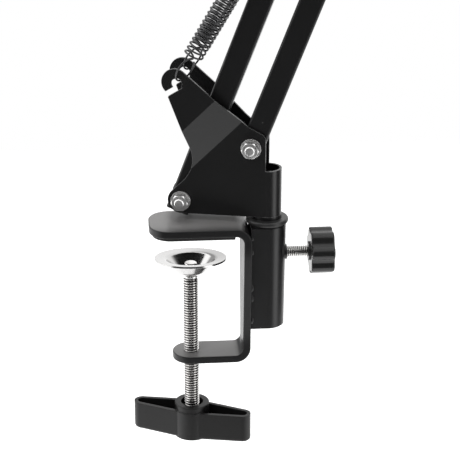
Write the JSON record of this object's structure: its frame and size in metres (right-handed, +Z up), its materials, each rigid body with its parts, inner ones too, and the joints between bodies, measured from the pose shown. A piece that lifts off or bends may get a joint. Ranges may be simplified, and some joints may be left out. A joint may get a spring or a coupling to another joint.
{
  "type": "microphone boom arm",
  "caption": "Spring-balanced desk boom arm for a microphone: C clamp with wing screw, swivelling folded bracket, two parallelograms of square tube and a tilting threaded stud.",
  "frame": {"origin": "centre of the jaw pad's underside, on the clamp screw's axis", "axes": "+Z up, +X from the clamp screw to the post, +Y to the back, away from the picture's camera"},
  "size_m": [0.3757, 0.1119, 0.6742],
  "materials": {
    "black_paint": "satin black",
    "black_gloss_paint": "gloss black",
    "rubber": "matt",
    "black_plastic": "satin moulded",
    "grey_black_plastic": "matt moulded",
    "polished_steel": "polished",
    "screw_steel": "bright zinc",
    "zinc": "bright zinc",
    "spring_steel": "blackened",
    "brass": "turned"
  },
  "bodies": {
    "clamp": {"clamp_frame": "black_gloss_paint", "jaw_pad": "rubber", "post_socket": "black_paint", "socket_liner": "black_plastic", "lock_insert": "black_paint"},
    "pad_seat": {"pad_washer": "zinc"},
    "pressure_pad": {"pressure_disc": "polished_steel"},
    "clamp_screw": {"clamp_screw": "screw_steel", "clamp_handle": "grey_black_plastic"},
    "lock_tip": {"lock_tip": "brass"},
    "lock_screw": {"lock_screw": "screw_steel", "lock_knob": "black_plastic"},
    "arm_base": {"base_bracket": "black_paint", "base_post": "black_paint", "base_bolts": "zinc", "base_nuts": "zinc", "base_washers": "zinc", "base_sleeves": "zinc"},
    "lower_springs": {"lower_spring_front": "spring_steel", "lower_spring_rear": "spring_steel"},
    "lower_left_bar": {"lower_left_bar": "black_paint"},
    "lower_pin": {"lower_spring_pin": "zinc"},
    "lower_right_bar": {"lower_right_bar": "black_paint"},
    "elbow": {"elbow_front_plate": "black_paint", "elbow_rear_plate": "black_paint", "elbow_tie": "zinc", "elbow_bolts": "zinc", "elbow_nuts": "zinc", "elbow_washers": "zinc", "elbow_sleeves": "zinc"},
    "upper_springs": {"upper_spring_front": "spring_steel", "upper_spring_rear": "spring_steel"},
    "upper_high_bar": {"upper_high_bar": "black_paint"},
    "upper_pin": {"upper_spring_pin": "zinc"},
    "upper_low_bar": {"upper_low_bar": "black_paint"},
    "head": {"head_bracket": "black_paint", "head_bush": "black_paint", "head_bolts": "zinc", "head_nuts": "zinc", "head_washers": "zinc", "head_sleeves": "zinc"},
    "head_swivel": {"swivel_yoke": "black_paint", "swivel_washer": "zinc", "swivel_nut": "zinc", "tilt_bolt": "zinc"},
    "tilt_knuckle": {"tilt_knuckle": "black_paint", "mic_stud": "zinc"},
    "tilt_washer": {"tilt_washer": "zinc"},
    "tilt_knob": {"tilt_knob": "black_plastic"}
  },
  "joints": [
    {"name": "pad_travel", "type": "slide", "parent": "clamp", "child": "pad_seat", "axis": [0, 0, 1], "range_m": [-0.042, 0.0126]},
    {"name": "pad_tilt", "type": "hinge", "parent": "pad_seat", "child": "pressure_pad", "pos_m": [0, 0, -0.02364], "axis": [1, 0, 0], "range_deg": [0, 14]},
    {"name": "screw_turn", "type": "hinge", "parent": "pad_seat", "child": "clamp_screw", "pos_m": [0, 0, -0.06], "axis": [0, 0, 1], "range_deg": [-10716, 3214.9]},
    {"name": "lock_travel", "type": "slide", "parent": "clamp", "child": "lock_tip", "axis": [1, 0, 0], "range_m": [0, 0.0015]},
    {"name": "lock_turn", "type": "hinge", "parent": "lock_tip", "child": "lock_screw", "pos_m": [0.0623, 0, -0.0132], "axis": [1, 0, 0], "range_deg": [0, 540.2]},
    {"name": "base_pan", "type": "hinge", "parent": "clamp", "child": "arm_base", "pos_m": [0.0398, 0, 0.005], "axis": [0, 0, 1], "continuous": true},
    {"name": "lower_lift", "type": "hinge", "parent": "arm_base", "child": "lower_left_bar", "pos_m": [-0.00279, 0.01022, 0.0157], "axis": [0.2334, 0.9724, 0], "range_deg": [-55, 12], "deforming": ["lower_spring_front", "lower_spring_rear"]},
    {"name": "lower_right_lift", "type": "hinge", "parent": "arm_base", "child": "lower_right_bar", "pos_m": [0.0326, 0.00173, 0.0458], "axis": [0.2334, 0.9724, 0], "range_deg": [-55, 12]},
    {"name": "elbow_level", "type": "hinge", "parent": "lower_left_bar", "child": "elbow", "pos_m": [0.11515, -0.01809, 0.33333], "axis": [0.2334, 0.9724, 0], "range_deg": [-12, 55]},
    {"name": "lower_spring_swing", "type": "hinge", "parent": "arm_base", "child": "lower_springs", "pos_m": [-0.00347, 0.01039, 0.0791], "axis": [0.2334, 0.9724, 0], "range_deg": [-78.53, 17.17]},
    {"name": "lower_pin_turn", "type": "hinge", "parent": "lower_left_bar", "child": "lower_pin", "pos_m": [0.06659, -0.00643, 0.20254], "axis": [0.2334, 0.9724, 0], "range_deg": [-23.54, 5.17]},
    {"name": "upper_lift", "type": "hinge", "parent": "elbow", "child": "upper_high_bar", "pos_m": [0.13703, -0.02334, 0.40403], "axis": [0.2334, 0.9724, 0], "range_deg": [-50, 35], "deforming": ["upper_spring_front", "upper_spring_rear"]},
    {"name": "upper_low_lift", "type": "hinge", "parent": "elbow", "child": "upper_low_bar", "pos_m": [0.12244, -0.01984, 0.37203], "axis": [0.2334, 0.9724, 0], "range_deg": [-50, 35]},
    {"name": "head_level", "type": "hinge", "parent": "upper_high_bar", "child": "head", "pos_m": [-0.1626, 0.04859, 0.54772], "axis": [0.2334, 0.9724, 0], "range_deg": [-35, 50]},
    {"name": "upper_spring_swing", "type": "hinge", "parent": "elbow", "child": "upper_springs", "pos_m": [0.12433, -0.0203, 0.42336], "axis": [0.2334, 0.9724, 0], "range_deg": [-54.2, 37.95]},
    {"name": "upper_pin_turn", "type": "hinge", "parent": "upper_high_bar", "child": "upper_pin", "pos_m": [-0.03923, 0.01897, 0.48855], "axis": [0.2334, 0.9724, 0], "range_deg": [-4.2, 2.95]},
    {"name": "head_pan", "type": "hinge", "parent": "head", "child": "head_swivel", "pos_m": [-0.20247, 0.05816, 0.51572], "axis": [0, 0, 1], "continuous": true},
    {"name": "mic_tilt", "type": "hinge", "parent": "head_swivel", "child": "tilt_knuckle", "pos_m": [-0.20247, 0.05816, 0.48567], "axis": [0.2334, 0.9724, 0], "range_deg": [-90, 90]},
    {"name": "knob_travel", "type": "slide", "parent": "head_swivel", "child": "tilt_washer", "axis": [-0.2334, -0.9724, 0], "range_m": [0, 0.001]},
    {"name": "knob_turn", "type": "hinge", "parent": "tilt_washer", "child": "tilt_knob", "pos_m": [-0.20597, 0.04358, 0.48567], "axis": [-0.2334, -0.9724, 0], "range_deg": [0, 360.2]}
  ],
  "couplings": [
    {"joint": "screw_turn", "follows": "pad_travel", "rad_per_m": 4453},
    {"joint": "lock_turn", "follows": "lock_travel", "rad_per_m": 6283.2},
    {"joint": "knob_turn", "follows": "knob_travel", "rad_per_m": 6283.2},
    {"joint": "lower_right_lift", "follows": "lower_lift", "ratio": 1},
    {"joint": "elbow_level", "follows": "lower_lift", "ratio": -1},
    {"joint": "lower_spring_swing", "follows": "lower_lift", "ratio": 1.427},
    {"joint": "lower_pin_turn", "follows": "lower_lift", "ratio": 0.427},
    {"joint": "upper_low_lift", "follows": "upper_lift", "ratio": 1},
    {"joint": "head_level", "follows": "upper_lift", "ratio": -1},
    {"joint": "upper_spring_swing", "follows": "upper_lift", "ratio": 1.083},
    {"joint": "upper_pin_turn", "follows": "upper_lift", "ratio": 0.083}
  ]
}
